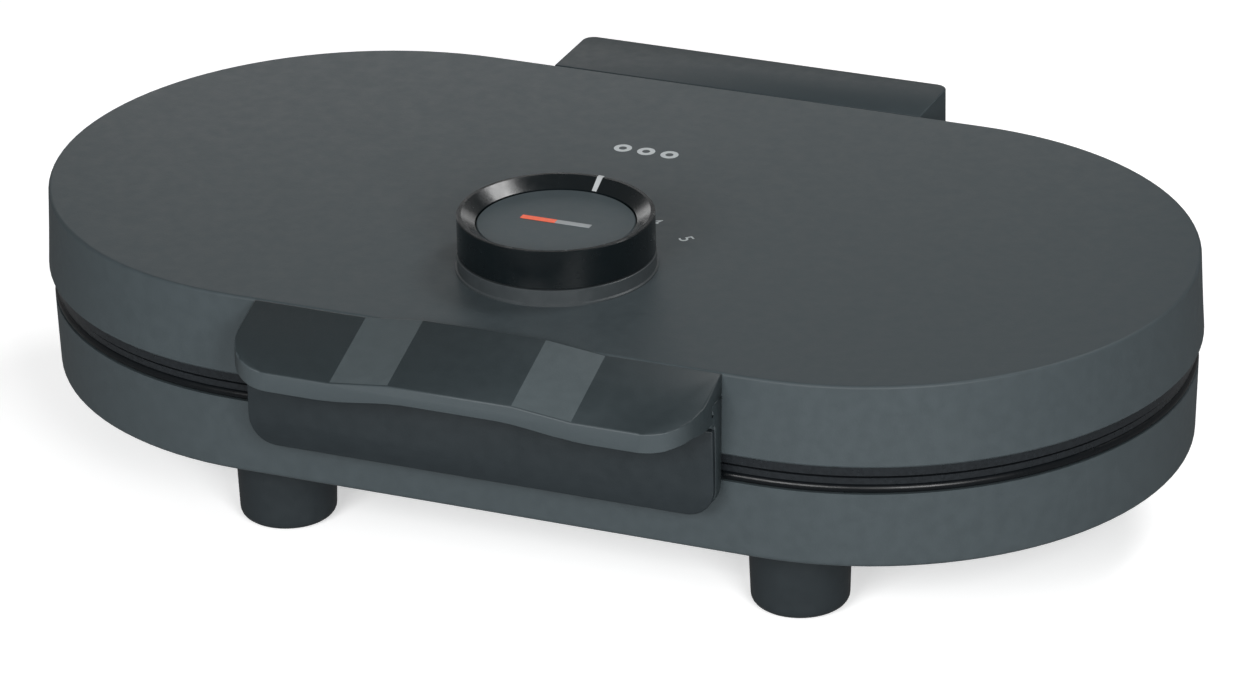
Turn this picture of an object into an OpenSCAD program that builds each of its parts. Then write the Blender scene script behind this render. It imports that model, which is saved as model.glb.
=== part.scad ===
// Donut maker: a stadium-shaped clamshell with twelve ring troughs, a hinged lid and a dial on top.
// Millimetres, +Z up, +X along the length, -Y towards the handle. The origin is on the surface
// that the feet stand on, under the middle of the outer box.

/* [Body] */
// Length of the lid's top face along X
body_l = 372; // [368:1:376]
// Width of the lid's top face along Y
body_w = 202; // [202:1:204]
// Height of the base's side wall
base_h = 24.8; // [24.8:0.1:26]
// Height of the lid's side wall
lid_h = 26.1; // [26.1:0.1:27.5]
// How far the lid's wall leans out from its top edge to its lower edge
lid_draft = 1.2; // [0.8:0.1:1.2]
// How far the base's wall leans in from its top edge to its underside
base_draft = 0.7; // [0.4:0.1:0.9]
// Thickness of the moulded walls
wall = 2.4; // [2.2:0.1:2.6]

/* [Seam] */
// Height of the dark band on top of the base's wall
bezel_h = 2.9; // [2.9:0.1:3.2]
// Height of the lower plate's visible rim
lower_rim_h = 2; // [2:0.1:2.4]
// Gap between the two plates when closed
plate_gap = 1.2; // [1:0.1:1.4]
// Height of the upper plate's visible rim
upper_rim_h = 3; // [3:0.1:3.3]

/* [Plates] */
// Radius of the circle along the middle of a donut ring
ring_r = 18; // [17:0.5:18]
// Radius of a donut ring's cross-section
ring_tube_r = 10; // [9:0.5:10]
// Thickness of the metal around a trough
cup_wall = 2.4; // [2:0.1:2.4]
// Distance between neighbouring troughs in a row
pitch_x = 64; // [64:1:65]
// Distance between the rows
pitch_y = 62; // [61.5:0.5:62]
// Radius of a heating element's tube
element_r = 3.3; // [3:0.1:3.3]

/* [Handle] */
// How far the handle's front edge stands from the middle of the body
handle_reach = 128.5; // [127:0.5:130]
// Width of the handle along X
handle_w = 152; // [150:1:154]
// Drop of the handle's top from the lid's edge to the front edge
handle_drop = 10; // [8:0.5:11]
// Thickness of the handle's lip
lip_t = 6; // [5.5:0.1:6.4]
// Height of the raised middle of the handle's top
lip_rise = 2; // [1:0.1:2.4]
// Radius of the handle's front corners seen from above
lip_corner = 16; // [12:1:18]
// Distance of the latch panel's lower edge below the lid's top face
skirt_drop = 44; // [43:0.5:45]

/* [Dial] */
// Distance of the dial's centre in front of the body's middle
dial_offset = 46.5; // [46:0.5:47]
// Radius of the dial ring at its rim
dial_r = 30.3; // [30:0.1:30.6]
// Height of the dial's rim above the lid's top face
dial_h = 17.8; // [17.6:0.1:18.2]
// How far the dial is turned clockwise from its middle mark
dial_turned = 5; // [-40:1:40]

/* [Hinge] */
// Width of the rear hinge blocks along X
block_w = 128; // [126:1:130]
// How far the rear hinge blocks reach from the middle of the body
block_reach = 128.5; // [128.5:0.5:130]
// Radius of the hinge barrel
barrel_r = 8.2; // [8:0.1:8.2]
// Radius of the hinge pins
pin_r = 2.5; // [2:0.1:2.8]

/* [Feet] */
// Distance from the surface to the base's underside
foot_h = 30.5; // [28:0.5:32]
// Distance of the feet from the middle along X
foot_x = 86; // [84:1:88]
// Distance of the feet from the middle along Y
foot_y = 64.7; // [60:0.1:66]
// Radius of a foot near its lower end
foot_r = 15.2; // [14:0.1:15.5]

/* [Hidden] */
$fn = 96;

eps = 0.01;
end_r = body_w / 2;
half_s = (body_l - body_w) / 2;
base_z = foot_h;
base_top = base_z + base_h;
lower_rim_z = base_top + bezel_h;
lower_face = lower_rim_z + lower_rim_h;
upper_face = lower_face + plate_gap;
lid_z = upper_face + upper_rim_h;
lid_top = lid_z + lid_h;
base_r = end_r - 0.2;
edge_fillet = 1;
floor_fillet = 2;
lid_ceiling = lid_top - wall;
base_floor = base_z + wall;

lower_rim_r = end_r - 1.2;
upper_rim_r = end_r - 0.1;
plate_body_t = 1.2;
cup_r = ring_tube_r + cup_wall;
lower_cup_z = lower_face - cup_r;
upper_cup_z = upper_face + cup_r;
element_gap = 0.15;
lower_element_z = lower_cup_z - element_gap - element_r;
upper_element_z = upper_cup_z + element_gap + element_r;
element_y = 50;
reflector_t = 0.8;
reflector_r = end_r - 11;
lower_reflector_z = lower_element_z - element_r - 2.4;
upper_reflector_z = upper_element_z + element_r + 1.5;
post_x = 170;
post_y = 6;
posts = [[-post_x, 0], [0, post_y], [post_x, 0]];
post_r = 4;
screw_r = 1.5;
screw_head_r = 3.1;

slope = atan(handle_drop / (handle_reach - end_r));
facet_in = 20;
facet_out = 39;
wave_in = 14;
wave_out = 44;
wave_drop = 0.6;
skirt_z = lid_top - skirt_drop;
skirt_y = end_r + 8.3;
skirt_corner = 9;
cheek_t = 2;
panel_t = 2;
panel_gap = 0.5;
swing_gap = 0.9;
panel_top = lid_top - 15.5;
latch_pin_r = 1.4;
latch_pin_y = -(end_r + 3.9);
latch_pin_z = panel_top - 0.8;
hook_z = base_top - 6.8;

dial_y = -dial_offset;
gear_module = 0.85;
gear_teeth = 48;
pinion_teeth = 12;
gear_pitch_r = gear_module * gear_teeth / 2;
pinion_pitch_r = gear_module * pinion_teeth / 2;
gear_root_r = gear_pitch_r + 1.2;
gear_tip_r = gear_pitch_r - 0.6;
pinion_root_r = pinion_pitch_r - 1;
pinion_tip_r = pinion_pitch_r + 0.6;
shaft_y = dial_y + gear_pitch_r - pinion_pitch_r;
shaft_r = 2.95;
collar_r = dial_r + 0.3;
collar_h = 5.2;
tower_r = 8.8;
disc_r = dial_r - 5.9;
disc_top = lid_top + dial_h - 3.3;
disc_t = 2.3;
land_w = 1.4;
gear_z = lid_top + 2.4;
gear_t = 4.6;
light_l = 11.4;
light_w = 2.3;
thermostat_r = 12.5;
thermostat_h = 11;
thermostat_z = lid_z + plate_body_t + 0.1;
bracket_x = 17;

block_corner = 4;
block_wall = 2.6;
hinge_y = block_reach - 10;
hinge_z = lid_z - 4.9;
block_low_top = hinge_z - 13.4;
barrel_half = 48;
cheek_in = 49;
cheek_out = block_w / 2 - block_wall;
gland_y = 115;
gland_z = base_z + 7.6;

// Colours
slate = [0.33, 0.37, 0.38];
charcoal = [0.16, 0.17, 0.18];
gloss_black = [0.06, 0.06, 0.07];
steel = [0.7, 0.71, 0.72];
alloy = [0.2, 0.2, 0.21];
cream = [0.85, 0.82, 0.74];

// Centres of the twelve troughs: two outer rows of four, and four in the middle row
outer_row = [for (i = [-1.5:1:1.5]) i * pitch_x];
middle_row = [-2 * pitch_x, -pitch_x, pitch_x, 2 * pitch_x];
troughs = [
    for (x = outer_row) [x, -pitch_y],
    for (x = middle_row) [x, 0],
    for (x = outer_row) [x, pitch_y],
];

// Reach of the lid's and the base's outer walls from the middle line at height z
function lid_wall_y(z) = end_r + lid_draft * (lid_top - z) / lid_h;
function base_wall_y(z) = base_r - base_draft * (base_top - z) / base_h;
function arc(cx, cy, r, a0, a1, n = 6) =
    [for (i = [0:n]) let (a = a0 + (a1 - a0) * i / n) [cx + r * cos(a), cy + r * sin(a)]];
function smooth(t) = let (u = max(0, min(1, t))) u * u * (3 - 2 * u);

module stadium(r) {
    translate([-half_s, 0]) circle(r);
    translate([half_s, 0]) circle(r);
    translate([-half_s, -r]) square([2 * half_s, 2 * r]);
}

// Sweeps a profile of radius and height round the stadium's centre line
module stadium_sweep() {
    for (side = [0, 180]) rotate([0, 0, side]) {
        translate([half_s, 0, 0]) rotate([0, 0, -90]) rotate_extrude(angle = 180) children();
        translate([-half_s, 0, 0]) rotate([90, 0, 90]) linear_extrude(2 * half_s) children();
    }
}

module slab(r, z, t) {
    translate([0, 0, z]) linear_extrude(t) stadium(r);
}

// Extrudes a profile drawn in Y and Z from x0 to x1
module along_x(x0, x1) {
    translate([x0, 0, 0]) rotate([90, 0, 90]) linear_extrude(x1 - x0) children();
}

module rod_x(x0, x1, y, z, r) {
    translate([x0, y, z]) rotate([0, 90, 0]) cylinder(r = r, h = x1 - x0);
}

module rod_y(x, y0, y1, z, r) {
    translate([x, y1, z]) rotate([90, 0, 0]) cylinder(r = r, h = y1 - y0);
}

module both_sides() {
    children();
    mirror([1, 0, 0]) children();
}

// ---- Base ----

module lower_housing() {
    vent_l = 34;
    vent_w = 3;
    boss_h = 4.6;
    color(slate) difference() {
        union() {
            stadium_sweep() polygon(concat(
                [[0, base_z]],
                arc(base_wall_y(base_z) - floor_fillet, base_z + floor_fillet, floor_fillet, -90, 0),
                [[base_r, base_top], [base_r - wall, base_top],
                 [base_wall_y(base_z) - wall, base_floor], [0, base_floor]]
            ));
            for (p = posts) translate([p.x, p.y, base_floor - eps])
                cylinder(r = post_r, h = lower_rim_z - plate_body_t - base_floor);
            for (x = [-foot_x, foot_x], y = [-foot_y, foot_y])
                translate([x, y, base_floor - eps]) cylinder(r = 5, h = boss_h);
        }
        for (p = posts) translate([p.x, p.y, base_floor + 2]) cylinder(r = screw_r, h = base_h + bezel_h);
        for (x = [-foot_x, foot_x], y = [-foot_y, foot_y])
            translate([x, y, base_z - 1]) cylinder(r = 2, h = boss_h + wall + 2);
        for (x = [-3:3], y = [-1, 1])
            translate([x * 9 - vent_w / 2, y * 36 - vent_l / 2, base_z - 1]) cube([vent_w, vent_l, wall + 2]);
        for (x = [-40, 40]) rod_y(x, end_r - 6, end_r + 2, base_z + 8, screw_r);
    }
}

module base_bezel() {
    bead_r = bezel_h / 2;
    color(charcoal) stadium_sweep() union() {
        translate([base_r - 3, base_top]) square([3 - bead_r - 0.1, bezel_h]);
        translate([base_r - bead_r - 0.1, base_top + bead_r]) circle(bead_r);
    }
}

// A trough's metal seen from the middle out, as a half ring on the plate's back
module cup_profile() {
    intersection() {
        translate([ring_r, 0]) circle(cup_r);
        translate([0, -cup_r - 1]) square([ring_r + cup_r + 1, cup_r + 1]);
    }
}

module trough_rings() {
    for (p = troughs) translate([p.x, p.y, 0]) rotate_extrude() translate([ring_r, 0]) circle(ring_tube_r);
}

// A plate with its baking face on z = 0 and its back below it
module plate(rim_r, rim_h, body_r) {
    gutter_r = body_r - 2.6;
    gutter_w = 2;
    gutter_d = 0.8;
    difference() {
        union() {
            slab(rim_r, -rim_h, rim_h);
            slab(body_r, -rim_h - plate_body_t, rim_h);
            for (p = troughs) translate([p.x, p.y, 0]) rotate_extrude() cup_profile();
        }
        trough_rings();
        translate([0, 0, -gutter_d]) linear_extrude(gutter_d + 1) difference() {
            stadium(gutter_r);
            stadium(gutter_r - gutter_w);
        }
        for (p = posts) translate([p.x, p.y, 0]) {
            translate([0, 0, -10]) cylinder(r = screw_r + 0.3, h = 20);
            translate([0, 0, -1.6]) cylinder(r = screw_head_r + 0.2, h = 3);
        }
    }
}

module lower_plate() {
    color(alloy) translate([0, 0, lower_face]) plate(lower_rim_r, lower_rim_h, end_r - 3.8);
}

module plate_screw() {
    translate([0, 0, -1.5]) cylinder(r = screw_head_r, h = 1.4);
    translate([0, 0, -13]) cylinder(r = screw_r - 0.05, h = 12);
}

module lower_plate_screws() {
    color(steel) for (p = posts) translate([p.x, p.y, lower_face]) plate_screw();
}

// A tubular heater bent round the plate, with both cold ends turned to the rear
module heating_element(z) {
    bend_r = 9;
    end_x = 18;
    tail = 12;
    color(steel) translate([0, 0, z]) {
        for (side = [-1, 1]) translate([side * half_s, 0, 0]) rotate([0, 0, -side * 90])
            rotate_extrude(angle = 180) translate([element_y, 0]) circle(element_r);
        rod_x(-half_s, half_s, -element_y, 0, element_r);
        both_sides() {
            rod_x(end_x + bend_r, half_s, element_y, 0, element_r);
            translate([end_x + bend_r, element_y + bend_r, 0]) rotate([0, 0, 180])
                rotate_extrude(angle = 90) translate([bend_r, 0]) circle(element_r);
            rod_y(end_x, element_y + bend_r, element_y + bend_r + tail, 0, element_r);
            rod_y(end_x, element_y + bend_r + tail, element_y + bend_r + tail + 6, 0, 1.5);
        }
    }
}

module lower_heating_element() {
    heating_element(lower_element_z);
}

module reflector(z) {
    color(steel) difference() {
        slab(reflector_r, z, reflector_t);
        for (p = posts) translate([p.x, p.y, z - 1]) cylinder(r = post_r + 0.5, h = 3);
        translate([0, shaft_y, z - 1]) cylinder(r = thermostat_r + 2.5, h = 3);
    }
}

module lower_reflector() {
    reflector(lower_reflector_z);
}

// Outline of the rear blocks seen from above
module block_plan(inset = 0) {
    half_w = block_w / 2 - inset;
    back = block_reach - inset;
    corner = block_corner - inset;
    translate([-half_w, end_r - 3]) square([2 * half_w, back - corner - end_r + 3]);
    translate([-half_w + corner, end_r - 3]) square([2 * (half_w - corner), back - end_r + 3]);
    for (side = [-1, 1]) translate([side * (half_w - corner), back - corner]) circle(corner);
}

module hinge_housing() {
    color(slate) difference() {
        union() {
            translate([0, 0, base_z]) linear_extrude(block_low_top - base_z) block_plan();
            rod_x(-barrel_half, barrel_half, hinge_y, hinge_z, barrel_r);
            translate([-barrel_half, hinge_y - barrel_r, block_low_top - 1])
                cube([2 * barrel_half, barrel_r + 1, hinge_z - block_low_top + 1]);
        }
        along_x(-block_w, block_w) polygon([
            [base_wall_y(base_z - 1) + 0.02, base_z - 1], [base_wall_y(base_top) + 0.02, base_top],
            [0, base_top], [0, base_z - 1]
        ]);
        translate([0, 0, base_floor]) linear_extrude(block_low_top - wall - base_floor) intersection() {
            block_plan(block_wall);
            translate([-block_w, end_r + 2.5]) square([2 * block_w, 60]);
        }
        for (side = [-1, 1])
            rod_x(side * barrel_half - 12, side * barrel_half + 12, hinge_y, hinge_z, pin_r);
        rod_x(block_w / 2 - 5, block_w / 2 + 5, gland_y, gland_z, 5.2);
        for (x = [-40, 40]) rod_y(x, end_r - 6, end_r + 4, base_z + 8, screw_r + 0.1);
    }
}

module hinge_housing_screws() {
    color(steel) for (x = [-40, 40]) {
        rod_y(x, end_r + 2.5, end_r + 4.3, base_z + 8, screw_head_r);
        rod_y(x, end_r - 5, end_r + 2.5, base_z + 8, screw_r - 0.05);
    }
}

module hinge_pins() {
    color(steel) for (side = [-1, 1]) rod_x(side * 49 - 11.5, side * 49 + 11.5, hinge_y, hinge_z, pin_r);
}

module latch_strike() {
    strike_w = 44;
    color(charcoal) along_x(-strike_w / 2, strike_w / 2) polygon([
        [-base_wall_y(base_top), base_top - 0.6], [-base_wall_y(hook_z), hook_z],
        [-end_r - 1.4, hook_z], [-end_r - 3.2, hook_z + 4.2], [-end_r - 3.2, base_top - 1.4],
        [-end_r - 2.4, base_top - 0.6]
    ]);
}

// Inlet bush for the mains lead, through the side of the rear block
module cord_gland() {
    color(charcoal) difference() {
        union() {
            rod_x(block_w / 2 - 5, block_w / 2, gland_y, gland_z, 5.2);
            rod_x(block_w / 2, block_w / 2 + 2, gland_y, gland_z, 7);
            rod_x(block_w / 2 + 2, block_w / 2 + 8, gland_y, gland_z, 5);
        }
        rod_x(block_w / 2 - 6, block_w / 2 + 9, gland_y, gland_z, 3.4);
    }
}

module terminal_block() {
    color(cream) difference() {
        translate([-15, end_r + 8, base_floor]) cube([30, 13, 8]);
        for (x = [-9, 0, 9]) {
            rod_y(x, end_r + 7, end_r + 22, base_floor + 3, 1.6);
            translate([x, end_r + 14.5, base_floor + 3]) cylinder(r = 2, h = 8);
        }
    }
}

module thermal_fuse() {
    fuse_z = lower_reflector_z - 2.2;
    color(steel) {
        rod_x(24, 34, 20, fuse_z, 2);
        rod_x(16, 24, 20, fuse_z, 0.5);
        rod_x(34, 42, 20, fuse_z, 0.5);
    }
}

module foot(x, y) {
    round_r = 3;
    low = 0.4;
    top_r = foot_r + 0.9;
    color(charcoal) translate([x, y, 0]) difference() {
        rotate_extrude() polygon(concat(
            [[0, low]], arc(foot_r - round_r, low + round_r, round_r, -90, 0), [[top_r, base_z], [0, base_z]]
        ));
        translate([0, 0, -1]) cylinder(r = 10, h = 3);
        translate([0, 0, 1]) cylinder(r = 4.4, h = base_z - 9);
        translate([0, 0, 1]) cylinder(r = 2.2, h = base_z);
    }
}

module foot_front_left() {
    foot(-foot_x, -foot_y);
}

module foot_front_right() {
    foot(foot_x, -foot_y);
}

module foot_rear_left() {
    foot(-foot_x, foot_y);
}

module foot_rear_right() {
    foot(foot_x, foot_y);
}

module foot_pads() {
    color("black") for (x = [-foot_x, foot_x], y = [-foot_y, foot_y])
        translate([x, y, 0]) cylinder(r = 9.8, h = 2);
}

module foot_screws() {
    color(steel) for (x = [-foot_x, foot_x], y = [-foot_y, foot_y]) translate([x, y, base_z - 8]) {
        translate([0, 0, -2.6]) cylinder(r = 3.9, h = 2.6);
        cylinder(r = 1.95, h = 13);
    }
}

// ---- Lid ----

module lid_wall_cut(side) {
    // Everything behind the lid's outer wall on one side
    along_x(-block_w, block_w) polygon([
        [side * lid_wall_y(0), 0], [side * (lid_wall_y(lid_top - edge_fillet) + 0.02), lid_top - edge_fillet],
        [side * (end_r + 0.02), lid_top], [side * (end_r + 0.02), lid_top + 9], [0, lid_top + 9], [0, 0]
    ]);
}

module upper_housing() {
    bevel = 0.7;
    color(slate) difference() {
        union() {
            stadium_sweep() polygon(concat(
                [[0, lid_ceiling], [end_r - wall, lid_ceiling], [end_r + lid_draft - wall, lid_z],
                 [end_r + lid_draft - bevel, lid_z], [end_r + lid_draft, lid_z + bevel]],
                arc(end_r - edge_fillet, lid_top - edge_fillet, edge_fillet, 0, 90),
                [[0, lid_top]]
            ));
            for (p = posts) translate([p.x, p.y, lid_z + plate_body_t])
                cylinder(r = post_r, h = lid_ceiling - lid_z - plate_body_t + eps);
        }
        for (p = posts) translate([p.x, p.y, lid_z]) cylinder(r = screw_r, h = lid_ceiling - lid_z - 2);
        translate([0, dial_y, lid_ceiling - 1]) cylinder(r = 5, h = 10);
        translate([0, shaft_y, lid_ceiling - 1]) cylinder(r = 3.6, h = 10);
        for (x = [-40, 40]) rod_y(x, end_r - 6, end_r + 4, lid_top - 11, screw_r);
    }
}

module upper_plate() {
    color(alloy) translate([0, 0, upper_face]) mirror([0, 0, 1])
        plate(upper_rim_r, upper_rim_h, end_r - 2);
}

module upper_plate_screws() {
    color(steel) for (p = posts) translate([p.x, p.y, upper_face]) mirror([0, 0, 1]) plate_screw();
}

module upper_heating_element() {
    heating_element(upper_element_z);
}

module upper_reflector() {
    reflector(upper_reflector_z);
}

module hinge_cover() {
    arm_y = hinge_y - barrel_r;
    color(slate) difference() {
        union() {
            difference() {
                translate([0, 0, lid_z]) linear_extrude(lid_h) block_plan();
                translate([0, 0, lid_z - 1]) linear_extrude(lid_h - block_wall + 1) intersection() {
                    block_plan(block_wall);
                    translate([-block_w, end_r + 3.6]) square([2 * block_w, 60]);
                }
            }
            for (side = [0, 1]) mirror([side, 0, 0]) {
                rod_x(cheek_in, cheek_out + 0.5, hinge_y, hinge_z, barrel_r);
                translate([cheek_in, arm_y, hinge_z])
                    cube([cheek_out - cheek_in + 0.5, block_reach - block_wall - arm_y,
                        lid_ceiling - hinge_z]);
            }
        }
        lid_wall_cut(1);
        rod_x(-block_w / 2 + 1, block_w / 2 - 1, hinge_y, hinge_z, pin_r + 0.06);
        for (x = [-40, 40]) rod_y(x, end_r - 6, end_r + 5, lid_top - 11, screw_r + 0.1);
    }
}

module hinge_cover_screws() {
    color(steel) for (x = [-40, 40]) {
        rod_y(x, end_r + 3.6, end_r + 5.4, lid_top - 11, screw_head_r);
        rod_y(x, end_r - 5, end_r + 3.6, lid_top - 11, screw_r - 0.05);
    }
}

// Front outline of the handle's skirt: the latch panel, and the side cheeks behind its ends
module skirt_outline(z_top) {
    half_w = handle_w / 2;
    corner = skirt_corner;
    translate([-half_w, skirt_z + corner]) square([handle_w, z_top - skirt_z - corner]);
    translate([-half_w + corner, skirt_z]) square([handle_w - 2 * corner, z_top - skirt_z]);
    for (side = [-1, 1]) translate([side * (half_w - corner), skirt_z + corner]) circle(corner);
}

// Cross-section of the lip square to its slope: flat sides, a raised middle and a soft wave below
module lip_section() {
    half_w = handle_w / 2;
    low = [for (i = [0:4:2 * wave_out])
        let (x = -wave_out + i, rise = smooth((wave_out - abs(x)) / (wave_out - wave_in)))
        [x, -lip_t + (lip_rise + wave_drop) * rise]];
    polygon(concat(
        [[half_w, 0], [facet_out, 0], [facet_in, lip_rise], [-facet_in, lip_rise], [-facet_out, 0],
         [-half_w, 0], [-half_w, -lip_t]], low, [[half_w, -lip_t]]
    ));
}

module lip_plan() {
    half_w = handle_w / 2;
    translate([-half_w, -handle_reach + lip_corner])
        square([handle_w, handle_reach - lip_corner - end_r + 4]);
    translate([-half_w + lip_corner, -handle_reach])
        square([handle_w - 2 * lip_corner, handle_reach - end_r + 4]);
    for (side = [-1, 1])
        translate([side * (half_w - lip_corner), -handle_reach + lip_corner]) circle(lip_corner);
}

module handle() {
    color(charcoal) difference() {
        union() {
            intersection() {
                translate([0, -end_r, lid_top]) rotate([slope, 0, 0]) rotate([90, 0, 0])
                    translate([0, 0, -4]) linear_extrude(handle_reach - end_r + 12) lip_section();
                translate([0, 0, skirt_z]) linear_extrude(skirt_drop + 10) lip_plan();
            }
            for (side = [0, 1]) mirror([side, 0, 0]) intersection() {
                translate([0, -end_r + 3, 0]) rotate([90, 0, 0])
                    linear_extrude(skirt_y - end_r + 3) skirt_outline(lid_top - 7);
                translate([handle_w / 2 - cheek_t, -skirt_y, 0]) cube([10, 20, lid_top]);
            }
        }
        translate([-handle_w, -skirt_y - 1, 0])
            cube([2 * handle_w, 1 + panel_t + panel_gap, panel_top + swing_gap]);
        lid_wall_cut(-1);
        rod_x(-handle_w / 2 + 1, handle_w / 2 - 1, latch_pin_y, latch_pin_z, latch_pin_r);
    }
}

module latch_pin() {
    color(steel) rod_x(-handle_w / 2 + 1.1, handle_w / 2 - 1.1, latch_pin_y, latch_pin_z, latch_pin_r - 0.05);
}

// Points of a coil's wire ring at turn angle a
function coil_ring(a, lead, r, wire) = [
    for (k = [0:5]) let (b = k * 60) [
        lead * a / 360 + wire * sin(b), (r + wire * cos(b)) * cos(a), (r + wire * cos(b)) * sin(a)]
];

module coil(turns, lead, r, wire) {
    steps = turns * 12;
    points = [for (i = [0:steps]) each coil_ring(i * 30, lead, r, wire)];
    sides = [for (i = [0:steps - 1], k = [0:5])
        [6 * i + k, 6 * i + (k + 1) % 6, 6 * i + 6 + (k + 1) % 6, 6 * i + 6 + k]];
    caps = [[for (k = [5:-1:0]) k], [for (k = [0:5]) 6 * steps + k]];
    polyhedron(points, concat(sides, caps), convexity = 8);
}

module latch_springs() {
    color(steel) for (x = [-40, 32]) translate([x, latch_pin_y, latch_pin_z]) coil(6, 1.2, 1.9, 0.3);
}

module latch_lever() {
    color(charcoal) difference() {
        union() {
            translate([0, -skirt_y + panel_t, 0]) rotate([90, 0, 0])
                linear_extrude(panel_t) skirt_outline(panel_top);
            for (x = [-68, 60]) {
                rod_x(x, x + 8, latch_pin_y, latch_pin_z, 2.4);
                translate([x, -skirt_y + 1, latch_pin_z - 2]) cube([8, 2.6, 2.8]);
            }
            along_x(-20, 20) polygon([
                [-skirt_y + 1, hook_z - 1.8], [-end_r - 3.8, hook_z - 1.8],
                [-end_r - 3.5, hook_z - 0.4], [-skirt_y + 1, hook_z + 1.5]
            ]);
        }
        rod_x(-handle_w, handle_w, latch_pin_y, latch_pin_z, latch_pin_r + 0.02);
    }
}

// ---- Dial ----

module at_dial() {
    translate([0, dial_y, lid_top]) children();
}

module dial_collar() {
    web_t = 1.5;
    color(slate) at_dial() difference() {
        union() {
            rotate_extrude() polygon([
                [5, 0], [collar_r + 0.4, 0], [collar_r + 0.4, 0.5], [collar_r, 0.9],
                [collar_r, collar_h - 0.2],
                [collar_r - 0.2, collar_h], [collar_r - 3, collar_h], [collar_r - 3, web_t], [5, web_t]
            ]);
            cylinder(r = tower_r, h = dial_h - 3.3 - disc_t);
        }
        translate([0, 0, -1]) cylinder(r = 5, h = 10);
        translate([0, 0, web_t]) cylinder(r = tower_r - 1.6, h = 20);
        translate([0, shaft_y - dial_y, -1]) cylinder(r = 3.6, h = 5);
    }
}

module centre_disc() {
    skirt_t = 1;
    color(slate) translate([0, dial_y, disc_top]) difference() {
        rotate_extrude() polygon([
            [0, 0], [disc_r - 0.4, 0], [disc_r, -0.4], [disc_r, -disc_t], [disc_r - 0.4, -disc_t],
            [disc_r - 0.4, -disc_t - 4.6], [disc_r - 0.4 - skirt_t, -disc_t - 4.6],
            [disc_r - 0.4 - skirt_t, -disc_t], [0, -disc_t]
        ]);
        translate([-light_l, -light_w / 2, -disc_t - 1]) cube([2 * light_l, light_w, disc_t + 2]);
    }
}

module light_pipe(x0, x1) {
    stem_x = (x0 + x1) / 2 < 0 ? -5 : 2;
    translate([x0, dial_y - light_w / 2, disc_top - disc_t]) cube([x1 - x0, light_w, disc_t + 0.15]);
    translate([stem_x, dial_y - light_w / 2, disc_top - disc_t - 3]) cube([3, light_w, 3]);
}

module red_light_pipe() {
    color("red") light_pipe(-light_l, -0.05);
}

module clear_light_pipe() {
    color("lightgray") light_pipe(0.05, light_l);
}

module lamp_board() {
    color("darkgreen") at_dial() translate([-5.5, -4, 2]) cube([11, 8, 1.2]);
}

module indicator_lamps() {
    color("orange") at_dial() for (x = [-3.5, 3.5]) translate([x, 0, 3.2]) {
        cylinder(r = 1.8, h = 4);
        translate([0, 0, 4]) sphere(1.8);
    }
}

module thermostat() {
    color(cream) translate([0, shaft_y, thermostat_z]) difference() {
        union() {
            cylinder(r = thermostat_r, h = thermostat_h);
            cylinder(r = 4.5, h = thermostat_h + 7);
        }
        translate([0, 0, 4]) cylinder(r = shaft_r + 0.05, h = 20);
    }
}

module thermostat_bracket() {
    color(steel) translate([0, shaft_y, thermostat_z]) difference() {
        union() {
            translate([-bracket_x, -5, thermostat_h + 0.1]) cube([2 * bracket_x, 10, 1.2]);
            for (x = [-bracket_x, bracket_x]) translate([x, 0, 0]) cylinder(r = 3, h = thermostat_h + 1.3);
        }
        translate([0, 0, thermostat_h - 1]) cylinder(r = 4.7, h = 5);
        for (x = [-bracket_x, bracket_x]) translate([x, 0, 2]) cylinder(r = 1.3, h = 20);
    }
}

module thermostat_screws() {
    color(steel) for (x = [-bracket_x, bracket_x])
        translate([x, shaft_y, thermostat_z + thermostat_h + 1.3]) {
            cylinder(r = 2.6, h = 1.5);
            translate([0, 0, -7]) cylinder(r = 1.25, h = 7);
        }
}

module thermostat_shaft() {
    color(steel) translate([0, shaft_y, thermostat_z + 4.5])
        cylinder(r = shaft_r, h = gear_z + gear_t - thermostat_z - 4.5);
}

module drive_pinion() {
    tooth = pinion_tip_r - pinion_root_r;
    color("ivory") translate([0, shaft_y, gear_z + 0.4]) difference() {
        union() {
            cylinder(r = pinion_root_r, h = gear_t - 0.6);
            for (i = [0:pinion_teeth - 1]) rotate([0, 0, 90 + i * 360 / pinion_teeth])
                linear_extrude(gear_t - 0.6) translate([pinion_root_r, 0]) polygon([
                    [-0.4, -0.72], [tooth, -0.33], [tooth, 0.33], [-0.4, 0.72]
                ]);
        }
        translate([0, 0, -1]) cylinder(r = shaft_r + 0.02, h = 10);
    }
}

module pointer_profile() {
    proud = 0.12;
    polygon([
        [disc_r + 0.4, dial_h - 3.1 + proud], [dial_r - land_w, dial_h + proud],
        [dial_r - 0.2, dial_h + proud], [dial_r - 0.2, dial_h - 0.8],
        [dial_r - land_w, dial_h - 1], [disc_r + 0.4, dial_h - 4]
    ]);
}

module pointer_wedge() {
    span = 3.6;
    rotate([0, 0, 90 - dial_turned - span / 2]) rotate_extrude(angle = span) pointer_profile();
}

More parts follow.
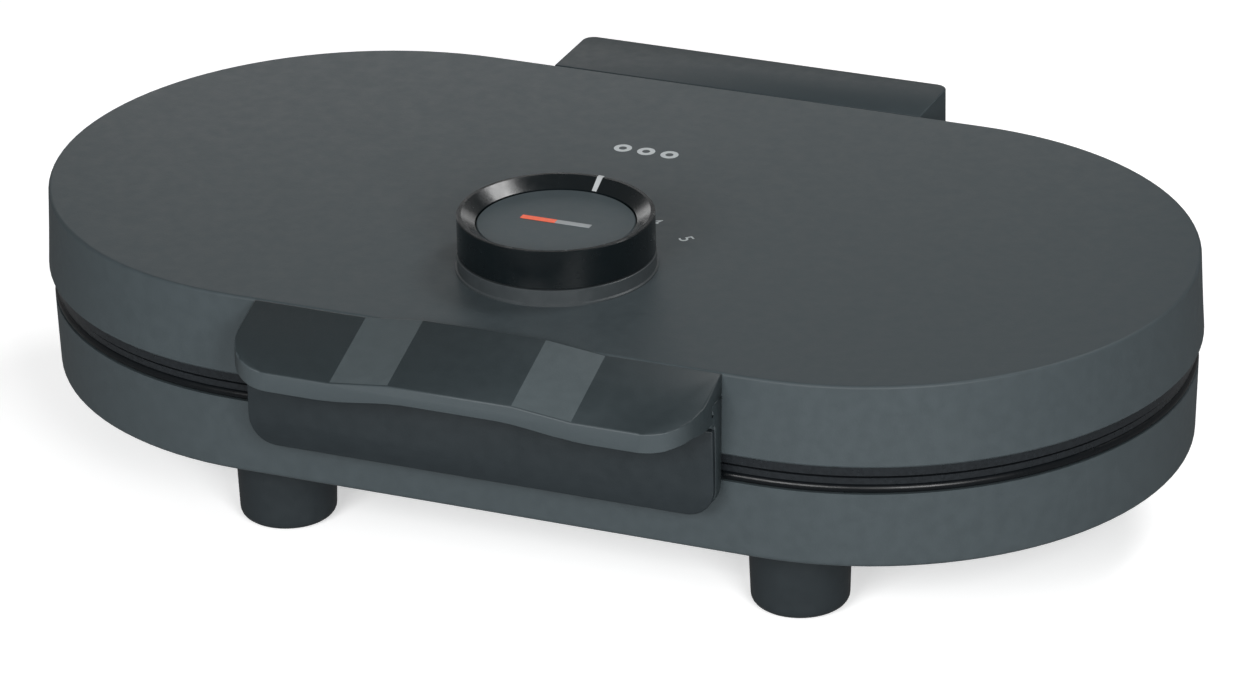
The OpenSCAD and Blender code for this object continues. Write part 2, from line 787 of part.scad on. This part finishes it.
module dial_ring() {
    inner = disc_r + 0.3;
    cavity = dial_r - 2.9;
    bottom = collar_h + 0.3;
    tooth = gear_root_r - gear_tip_r;
    color(gloss_black) at_dial() difference() {
        union() {
            rotate_extrude() polygon([
                [dial_r - 0.3, bottom], [dial_r + 0.1, bottom + 0.3], [dial_r, dial_h - 0.3],
                [dial_r - 0.3, dial_h], [dial_r - land_w, dial_h], [inner, dial_h - 3.1],
                [inner, dial_h - 5.4], [cavity, dial_h - 5.4], [cavity, 7.5], [gear_root_r, 7.5],
                [gear_root_r, 2.4], [cavity - 0.8, 2.4], [cavity - 0.8, bottom]
            ]);
            for (i = [0:gear_teeth - 1]) rotate([0, 0, (i + 0.5) * 360 / gear_teeth])
                translate([gear_tip_r, 0, 2.4]) linear_extrude(gear_t) polygon([
                    [0, -0.33], [tooth + 0.4, -0.72], [tooth + 0.4, 0.72], [0, 0.33]
                ]);
        }
        pointer_wedge();
    }
}

module dial_pointer() {
    color("silver") at_dial() pointer_wedge();
}

lower_housing();
base_bezel();
lower_plate();
lower_heating_element();
lower_reflector();
hinge_housing();
hinge_pins();
latch_strike();
cord_gland();
terminal_block();
thermal_fuse();
foot_front_left();
foot_front_right();
foot_rear_left();
foot_rear_right();
foot_pads();
foot_screws();
lower_plate_screws();
hinge_housing_screws();
upper_housing();
upper_plate();
upper_heating_element();
upper_reflector();
upper_plate_screws();
hinge_cover();
hinge_cover_screws();
handle();
latch_pin();
latch_springs();
latch_lever();
dial_collar();
centre_disc();
red_light_pipe();
clear_light_pipe();
lamp_board();
indicator_lamps();
thermostat();
thermostat_bracket();
thermostat_screws();
thermostat_shaft();
drive_pinion();
dial_ring();
dial_pointer();
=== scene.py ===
import math

import bmesh
import bpy
from mathutils import Matrix, Vector


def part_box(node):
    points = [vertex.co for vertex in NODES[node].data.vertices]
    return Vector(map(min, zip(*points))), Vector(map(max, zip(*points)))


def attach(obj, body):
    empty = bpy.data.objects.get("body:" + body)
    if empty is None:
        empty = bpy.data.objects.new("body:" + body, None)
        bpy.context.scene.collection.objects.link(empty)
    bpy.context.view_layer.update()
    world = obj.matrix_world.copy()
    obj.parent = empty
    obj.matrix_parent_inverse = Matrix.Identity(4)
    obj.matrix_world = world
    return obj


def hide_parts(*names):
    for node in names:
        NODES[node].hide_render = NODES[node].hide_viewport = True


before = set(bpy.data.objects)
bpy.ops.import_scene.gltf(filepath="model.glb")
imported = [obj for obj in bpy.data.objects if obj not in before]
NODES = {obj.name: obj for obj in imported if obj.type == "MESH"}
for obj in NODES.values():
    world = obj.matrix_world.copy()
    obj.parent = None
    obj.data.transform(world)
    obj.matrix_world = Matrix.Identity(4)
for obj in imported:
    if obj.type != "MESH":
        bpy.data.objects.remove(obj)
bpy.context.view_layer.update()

MM = 0.001

# ---- Places and sizes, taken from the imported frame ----

LID_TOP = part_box("upper_housing")[1].z
ring_low, ring_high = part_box("dial_ring")
DIAL = Vector(((ring_low.x + ring_high.x) / 2, (ring_low.y + ring_high.y) / 2, LID_TOP))

# Camera: azimuth, elevation and roll in degrees, its place, and its lens and sensor in millimetres
CAMERA_TURN = (23.03, 24.95, -1.17)
CAMERA_PLACE = (0.6842, -1.6004, LID_TOP + 0.7631)
CAMERA_LENS = 174.2
SENSOR_WIDTH = 36

# Lip: radius of its front corners seen from above, and the least area of a face of its slanting facets that
# takes the painted sheen
LIP_CORNER = 16 * MM
FACET_MIN_AREA = 50 * MM * MM

# Rims below the lip's front corners: how far their outer and inner faces lie inside the lip's outline,
# and how far the rims stay above the latch panel
RIM_OUTER = 0.03 * MM
RIM_INNER = 2 * MM
RIM_GAP = 0.9 * MM
# The angle at which a rim starts round its corner, in degrees, and how far behind the corner's centre
# it ends; its height at that centre, and how steeply its top rises towards the back
RIM_START = -51
RIM_END = 5.4 * MM
RIM_HEIGHT = 5.4 * MM
RIM_SLOPE = 0.36

# Printed numerals round the dial, the middle one straight behind it
NUMERALS = range(1, 6)
MIDDLE_NUMERAL = 3
NUMERAL_R = 43.3 * MM
NUMERAL_STEP = 21.5
NUMERAL_SIZE = 6.6 * MM

# A plain mark of three printed rings behind the dial, and the thickness of all the print
MARK = DIAL + Vector((-8 * MM, 90.8 * MM, 0))
MARK_STEP = 8 * MM
MARK_R = 2.9 * MM
MARK_HOLE_R = 0.45 * MARK_R
INK = 0.03 * MM


# ---- Camera, light and floor ----

def make_camera():
    """Stands where the photograph was taken from: right of the front, about 25 degrees up."""
    azimuth, elevation, roll = (math.radians(a) for a in CAMERA_TURN)
    back = Vector((math.sin(azimuth) * math.cos(elevation),
                   -math.cos(azimuth) * math.cos(elevation), math.sin(elevation)))
    level = Vector((math.cos(azimuth), math.sin(azimuth), 0))
    up = back.cross(level)
    right = level * math.cos(roll) + up * math.sin(roll)
    tilted_up = up * math.cos(roll) - level * math.sin(roll)
    camera = bpy.data.objects.new("camera", bpy.data.cameras.new("camera"))
    camera.data.sensor_width = SENSOR_WIDTH
    camera.data.lens = CAMERA_LENS
    turn = Matrix((right, tilted_up, back)).transposed().to_4x4()
    camera.matrix_world = Matrix.Translation(CAMERA_PLACE) @ turn
    bpy.context.scene.collection.objects.link(camera)
    bpy.context.scene.camera = camera


def soft_box(name, azimuth, elevation, distance, size, power, target=(0, 0, 0.06)):
    """A rectangular soft box; azimuth 0 is in front of the handle and 90 is to the right."""
    turn, rise = math.radians(azimuth), math.radians(elevation)
    away = Vector((math.sin(turn) * math.cos(rise), -math.cos(turn) * math.cos(rise), math.sin(rise)))
    data = bpy.data.lights.new(name, "AREA")
    data.shape = "RECTANGLE"
    data.size, data.size_y = size
    data.energy = power
    light = bpy.data.objects.new(name, data)
    light.location = Vector(target) + away * distance
    light.rotation_mode = "QUATERNION"
    light.rotation_quaternion = away.to_track_quat("Z", "Y")
    bpy.context.scene.collection.objects.link(light)


def make_studio():
    scene = bpy.context.scene
    scene.view_settings.view_transform = "Standard"
    world = bpy.data.worlds.new("studio")
    world.use_nodes = True
    background = world.node_tree.nodes["Background"]
    background.inputs["Color"].default_value = (1, 1, 1, 1)
    background.inputs["Strength"].default_value = 0.15
    scene.world = world
    soft_box("front_box", azimuth=-4, elevation=24, distance=1.5, size=(0.7, 0.5), power=15)
    soft_box("right_box", azimuth=40, elevation=22, distance=1.5, size=(0.5, 0.6), power=14.5)
    soft_box("back_box", azimuth=202, elevation=20, distance=0.26, size=(0.45, 0.08), power=0.16,
             target=(-0.03, 0.06, 0.09))
    soft_box("low_box", azimuth=222, elevation=10, distance=1.6, size=(1.0, 0.4), power=0.8)
    soft_box("dial_box", azimuth=132, elevation=56, distance=1.4, size=(0.45, 0.45), power=7.4)


def make_floor():
    half = 4
    mesh = bpy.data.meshes.new("floor")
    mesh.from_pydata([(-half, -half, 0), (half, -half, 0), (half, half, 0), (-half, half, 0)], [],
                     [(0, 1, 2, 3)])
    floor = bpy.data.objects.new("floor", mesh)
    bpy.context.scene.collection.objects.link(floor)
    floor.data.materials.append(plain_paper())
    floor.visible_glossy = False


# ---- Materials ----

def start_material(name):
    material = bpy.data.materials.new(name)
    material.use_nodes = True
    tree = material.node_tree
    return material, tree, tree.nodes["Principled BSDF"]


def noise(tree, scale, detail=3.0, stretch=(1, 1, 1)):
    """Noise in object space, so that it is fixed to the piece; scale counts features per metre."""
    coordinates = tree.nodes.new("ShaderNodeTexCoord")
    mapping = tree.nodes.new("ShaderNodeMapping")
    mapping.inputs["Scale"].default_value = stretch
    texture = tree.nodes.new("ShaderNodeTexNoise")
    texture.inputs["Scale"].default_value = scale
    texture.inputs["Detail"].default_value = detail
    tree.links.new(coordinates.outputs["Object"], mapping.inputs["Vector"])
    tree.links.new(mapping.outputs["Vector"], texture.inputs["Vector"])
    return texture.outputs["Fac"]


def spread(tree, value, low, high):
    """Maps a noise value to the range low to high."""
    node = tree.nodes.new("ShaderNodeMapRange")
    node.inputs["From Min"].default_value = 0.3
    node.inputs["From Max"].default_value = 0.7
    node.inputs["To Min"].default_value = low
    node.inputs["To Max"].default_value = high
    tree.links.new(value, node.inputs["Value"])
    return node.outputs["Result"]


def two_tone(tree, value, colour_a, colour_b):
    """Maps a noise value to a blend of two colours."""
    ramp = tree.nodes.new("ShaderNodeValToRGB")
    ramp.color_ramp.elements[0].position = 0.35
    ramp.color_ramp.elements[1].position = 0.65
    ramp.color_ramp.elements[0].color = (*colour_a, 1)
    ramp.color_ramp.elements[1].color = (*colour_b, 1)
    tree.links.new(value, ramp.inputs["Fac"])
    return ramp.outputs["Color"]


def light_front(tree, tone, colour):
    """Painted light: blends a tone into a lighter colour where the surface faces forwards, as painted front
    light and a painted highlight on forward-facing edges.
    """
    coordinates = tree.nodes.new("ShaderNodeTexCoord")
    parts = tree.nodes.new("ShaderNodeSeparateXYZ")
    tree.links.new(coordinates.outputs["Normal"], parts.inputs["Vector"])
    front_light_mask = tree.nodes.new("ShaderNodeMapRange")
    front_light_mask.inputs["From Min"].default_value = -0.45
    front_light_mask.inputs["From Max"].default_value = -0.9
    tree.links.new(parts.outputs["Y"], front_light_mask.inputs["Value"])
    mix = tree.nodes.new("ShaderNodeMix")
    mix.data_type = "RGBA"
    mix.inputs["B"].default_value = (*colour, 1)
    tree.links.new(front_light_mask.outputs["Result"], mix.inputs["Factor"])
    tree.links.new(tone, mix.inputs["A"])
    return mix.outputs["Result"]


def surface(name, colour, roughness, vary=0.04, rough_vary=0.04, tone_scale=250, grain=1500,
            grain_depth=0.00005, metallic=0.0, specular=0.5, stretch=(1, 1, 1), front=None):
    """A moulded, cast or drawn surface: mottled tone, uneven roughness and a fine grain; a front colour, if
    given, is painted light on forward-facing faces.
    """
    material, tree, shader = start_material(name)
    dark = [c * (1 - vary) for c in colour]
    light = [min(1, c * (1 + vary)) for c in colour]
    tone = two_tone(tree, noise(tree, tone_scale, 4.0, stretch), dark, light)
    # Painted light: forward-facing faces take the lighter front colour.
    if front:
        tone = light_front(tree, tone, front)
    tree.links.new(tone, shader.inputs["Base Color"])
    uneven = spread(tree, noise(tree, grain / 6, 2.0, stretch),
                    roughness - rough_vary, roughness + rough_vary)
    tree.links.new(uneven, shader.inputs["Roughness"])
    shader.inputs["Metallic"].default_value = metallic
    shader.inputs["Specular IOR Level"].default_value = specular
    bump = tree.nodes.new("ShaderNodeBump")
    bump.inputs["Strength"].default_value = 0.5
    bump.inputs["Distance"].default_value = grain_depth
    tree.links.new(noise(tree, grain, 2.0, stretch), bump.inputs["Height"])
    tree.links.new(bump.outputs["Normal"], shader.inputs["Normal"])
    return material


def plain_paper():
    """White paper that glows a little, so that shadows on it stay light and soft."""
    material, tree, shader = start_material("floor_paper")
    tone = two_tone(tree, noise(tree, 3, 2.0), (0.83, 0.83, 0.83), (0.85, 0.85, 0.85))
    tree.links.new(tone, shader.inputs["Base Color"])
    shader.inputs["Roughness"].default_value = 0.95
    shader.inputs["Specular IOR Level"].default_value = 0.0
    shader.inputs["Emission Color"].default_value = (1, 1, 1, 1)
    shader.inputs["Emission Strength"].default_value = 0.48
    return material


HOUSING = surface("housing_plastic", (0.038, 0.049, 0.054), 0.5, specular=0.25)
HINGE = surface("hinge_plastic", (0.028, 0.037, 0.041), 0.5, specular=0.15)
# Painted light and shade: the handle's colour is darker than the housing's as painted shade on its sloping
# top and sides, and its front colour paints the front light and the highlight along the lip's upper edge.
HANDLE = surface("handle_painted_light_and_shade", (0.020, 0.027, 0.030), 0.44, specular=0.25,
                 front=(0.040, 0.051, 0.056))
# Painted sheen: a lighter colour on the lip's slanting facets stands in for the sheen of the lights on
# them.
FACET_SHEEN = surface("handle_facet_sheen", (0.054, 0.067, 0.072), 0.44, specular=0.25)
# Painted shade: the latch panel's colour is darker than the handle's, standing in for the shade under the
# lip.
SHADED_PANEL = surface("panel_painted_shade", (0.014, 0.019, 0.022), 0.5, specular=0.2)
FOOT = surface("foot_plastic", (0.016, 0.021, 0.024), 0.45, specular=0.25)
TRIM = surface("trim_plastic", (0.003, 0.004, 0.005), 0.3, grain=900, specular=0.3)
RUBBER = surface("pad_rubber", (0.012, 0.012, 0.012), 0.8)
PLATE = surface("plate_coating", (0.014, 0.017, 0.020), 0.3, vary=0.15, tone_scale=900, grain=2600,
                metallic=0.3)
DIAL_BLACK = surface("dial_plastic", (0.003, 0.005, 0.006), 0.24, grain=1800, grain_depth=0.00002)
DISC = surface("disc_plastic", (0.050, 0.064, 0.070), 0.5, specular=0.25)
COLLAR = surface("collar_plastic", (0.034, 0.040, 0.043), 0.36)
STEEL = surface("zinc_steel", (0.55, 0.55, 0.56), 0.35, metallic=1.0, tone_scale=300)
ELEMENT = surface("element_tube", (0.2, 0.19, 0.18), 0.45, metallic=0.9, tone_scale=120, vary=0.25)
REFLECTOR = surface("reflector_sheet", (0.6, 0.6, 0.6), 0.3, metallic=1.0, stretch=(0.05, 1, 1))
CERAMIC = surface("insulator", (0.75, 0.72, 0.64), 0.6)
POINTER = surface("pointer_silver", (0.50, 0.52, 0.53), 0.4, metallic=0.3)
RED = surface("red_pipe", (0.80, 0.12, 0.05), 0.35)
CLEAR = surface("clear_pipe", (0.26, 0.28, 0.29), 0.35)
BOARD = surface("board", (0.02, 0.12, 0.05), 0.35)
LAMP = surface("lamp_glass", (0.8, 0.35, 0.2), 0.1)
NYLON = surface("nylon", (0.8, 0.78, 0.7), 0.45)
PRINT = surface("print_ink", (0.42, 0.45, 0.46), 0.5)

NODE_MATERIALS = (
    (HOUSING, "lower_housing", "upper_housing"),
    (HINGE, "hinge_housing", "hinge_cover"),
    (HANDLE, "handle"),
    (SHADED_PANEL, "latch_lever"),
    (TRIM, "base_bezel", "latch_strike", "cord_gland"),
    (FOOT, "foot_front_left", "foot_front_right", "foot_rear_left", "foot_rear_right"),
    (RUBBER, "foot_pads"),
    (PLATE, "lower_plate", "upper_plate"),
    (ELEMENT, "lower_heating_element", "upper_heating_element"),
    (REFLECTOR, "lower_reflector", "upper_reflector"),
    (STEEL, "hinge_pins", "foot_screws", "lower_plate_screws", "upper_plate_screws", "hinge_housing_screws",
     "hinge_cover_screws", "latch_pin", "latch_springs", "thermostat_bracket", "thermostat_screws",
     "thermostat_shaft", "thermal_fuse"),
    (CERAMIC, "terminal_block", "thermostat"),
    (COLLAR, "dial_collar"),
    (DISC, "centre_disc"),
    (RED, "red_light_pipe"),
    (CLEAR, "clear_light_pipe"),
    (BOARD, "lamp_board"),
    (LAMP, "indicator_lamps"),
    (NYLON, "drive_pinion"),
    (DIAL_BLACK, "dial_ring"),
    (POINTER, "dial_pointer"),
)


def paint_nodes():
    for material, *names in NODE_MATERIALS:
        for name in names:
            mesh = NODES[name].data
            mesh.materials.clear()
            mesh.materials.append(material)


# ---- Pieces with softened edges, in place of their sharp-edged nodes ----

def soften(node, body, width):
    """A copy of the node's shape with its sharp creases rounded off by the given width."""
    mesh = NODES[node].data.copy()
    mesh.name = node + "_soft"
    bm = bmesh.new()
    bm.from_mesh(mesh)
    bmesh.ops.remove_doubles(bm, verts=bm.verts, dist=0.002 * MM)
    bmesh.ops.dissolve_limit(bm, angle_limit=math.radians(0.6), verts=bm.verts, edges=bm.edges)
    bm.to_mesh(mesh)
    bm.free()
    piece = bpy.data.objects.new(node + "_soft", mesh)
    bpy.context.scene.collection.objects.link(piece)
    bevel = piece.modifiers.new("bevel", "BEVEL")
    bevel.width = width
    bevel.segments = 3
    bevel.limit_method = "ANGLE"
    bevel.angle_limit = math.radians(24)
    bevel.use_clamp_overlap = False
    piece.modifiers.new("normals", "WEIGHTED_NORMAL").keep_sharp = False
    graph = bpy.context.evaluated_depsgraph_get()
    rounded = bpy.data.meshes.new_from_object(piece.evaluated_get(graph), depsgraph=graph)
    piece.modifiers.clear()
    piece.data = rounded
    for polygon in rounded.polygons:
        polygon.use_smooth = True
    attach(piece, body)
    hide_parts(node)
    return piece


def soften_handle():
    """Softens the handle; its lip's two slanting facets get a lighter tone than the rest of its top, as a
    painted sheen.
    """
    mesh = soften("handle", "lid", 0.5 * MM).data
    # Painted sheen: large faces that tilt sideways and face up take the lighter facet colour.
    mesh.materials.append(FACET_SHEEN)
    for polygon in mesh.polygons:
        tilted = 0.05 < abs(polygon.normal.x) < 0.2 and polygon.normal.z > 0.8
        if tilted and polygon.area > FACET_MIN_AREA:
            polygon.material_index = 1


def make_lip_rim(name, side):
    """The rim below one front corner of the lip, down to just above the latch panel."""
    front, half_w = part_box("handle")[0].y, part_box("handle")[1].x
    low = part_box("latch_lever")[1].z + RIM_GAP
    outline = []
    for radius, order in ((LIP_CORNER - RIM_OUTER, 1), (LIP_CORNER - RIM_INNER, -1)):
        turns = [math.radians(a) for a in range(RIM_START, 1, 3)]
        edge = [(radius * math.cos(a), radius * math.sin(a)) for a in turns] + [(radius, RIM_END)]
        outline += edge[::order]
    bm = bmesh.new()
    layers = [[bm.verts.new((side * (half_w - LIP_CORNER + x), front + LIP_CORNER + y,
                             low + rise * (RIM_HEIGHT + RIM_SLOPE * y)))
               for x, y in outline] for rise in (0, 1)]
    for layer in layers:
        bm.faces.new(layer)
    for i in range(len(outline)):
        k = (i + 1) % len(outline)
        bm.faces.new((layers[0][i], layers[0][k], layers[1][k], layers[1][i]))
    bmesh.ops.recalc_face_normals(bm, faces=bm.faces)
    mesh = bpy.data.meshes.new(name)
    bm.to_mesh(mesh)
    bm.free()
    mesh.materials.append(HANDLE)
    rim = bpy.data.objects.new(name, mesh)
    bpy.context.scene.collection.objects.link(rim)
    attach(rim, "lid")


# ---- Marks printed on the lid ----

def printed(name, mesh):
    """Adds a mark's mesh to the scene, painted with ink and riding on the lid."""
    mesh.materials.clear()
    mesh.materials.append(PRINT)
    piece = bpy.data.objects.new(name, mesh)
    bpy.context.scene.collection.objects.link(piece)
    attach(piece, "lid")
    return piece


def print_numeral(number):
    """A numeral round the dial, its top turned outwards."""
    curve = bpy.data.curves.new("numeral", "FONT")
    curve.body = str(number)
    curve.size = NUMERAL_SIZE
    curve.extrude = INK
    curve.align_x = "CENTER"
    curve.align_y = "CENTER"
    letter = bpy.data.objects.new("letter", curve)
    bpy.context.scene.collection.objects.link(letter)
    graph = bpy.context.evaluated_depsgraph_get()
    mesh = bpy.data.meshes.new_from_object(letter.evaluated_get(graph), depsgraph=graph)
    bpy.data.objects.remove(letter)
    turn = math.radians((MIDDLE_NUMERAL - number) * NUMERAL_STEP)
    place = DIAL + Vector((-math.sin(turn), math.cos(turn), 0)) * NUMERAL_R
    mesh.transform(Matrix.Translation(place) @ Matrix.Rotation(turn, 4, "Z"))
    printed("numeral_%d" % number, mesh)


def print_ring(name, centre, outer, inner, steps=48):
    """A flat printed ring."""
    bm = bmesh.new()
    rims = []
    for radius in (outer, inner):
        for z in (0, INK):
            rims.append([bm.verts.new(centre + Vector((radius * math.cos(2 * math.pi * i / steps),
                                                       radius * math.sin(2 * math.pi * i / steps), z)))
                         for i in range(steps)])
    for first, second in ((0, 1), (1, 3), (3, 2), (2, 0)):
        for i in range(steps):
            k = (i + 1) % steps
            bm.faces.new((rims[first][i], rims[first][k], rims[second][k], rims[second][i]))
    bmesh.ops.recalc_face_normals(bm, faces=bm.faces)
    mesh = bpy.data.meshes.new(name)
    bm.to_mesh(mesh)
    bm.free()
    printed(name, mesh)


make_camera()
make_studio()
make_floor()
paint_nodes()
soften_handle()
make_lip_rim("lip_rim_left", -1)
make_lip_rim("lip_rim_right", 1)
soften("latch_lever", "latch", 0.35 * MM)
soften("hinge_cover", "lid", 0.4 * MM)
soften("hinge_housing", "base", 0.4 * MM)
for number in NUMERALS:
    print_numeral(number)
for i in (-1, 0, 1):
    print_ring("lid_mark_%d" % (i + 2), MARK + Vector((i * MARK_STEP, 0, 0)), MARK_R, MARK_HOLE_R)
